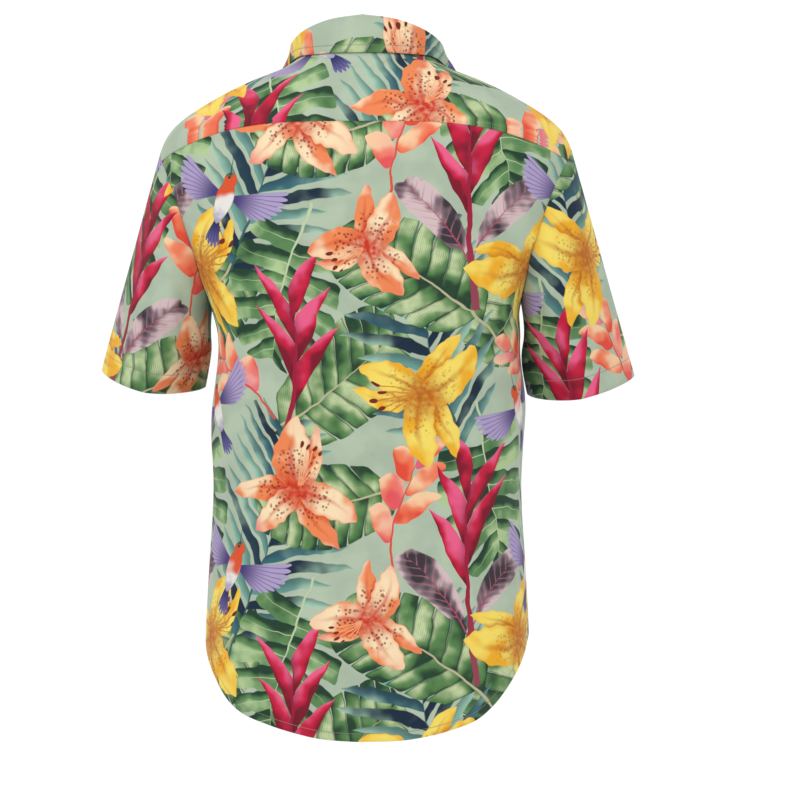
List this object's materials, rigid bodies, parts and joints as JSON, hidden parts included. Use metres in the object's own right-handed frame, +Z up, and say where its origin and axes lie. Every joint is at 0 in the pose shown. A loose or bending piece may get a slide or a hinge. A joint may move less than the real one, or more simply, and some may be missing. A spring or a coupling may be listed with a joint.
{
  "type": "hawaiian shirt",
  "caption": "Short-sleeved button shirt with a turned-down collar, back yoke and shirt-tail hem, in a tropical print, worn but empty.",
  "frame": {"origin": "between the shoulders at the height of the neck, where the wearer carries the shirt", "axes": "+Z up, +X to the wearer's left, +Y to the wearer's back"},
  "size_m": [0.5908, 0.281, 0.7808],
  "materials": {
    "printed_cloth": "matt printed cloth",
    "button_plastic": "satin"
  },
  "bodies": {
    "root": {"back": "printed_cloth", "yoke": "printed_cloth", "front_left": "printed_cloth", "front_right": "printed_cloth", "sleeve_left": "printed_cloth", "sleeve_right": "printed_cloth", "collar": "printed_cloth", "button_1": "button_plastic", "button_2": "button_plastic", "button_3": "button_plastic", "button_4": "button_plastic", "button_5": "button_plastic", "button_6": "button_plastic", "button_7": "button_plastic"}
  },
  "joints": []
}
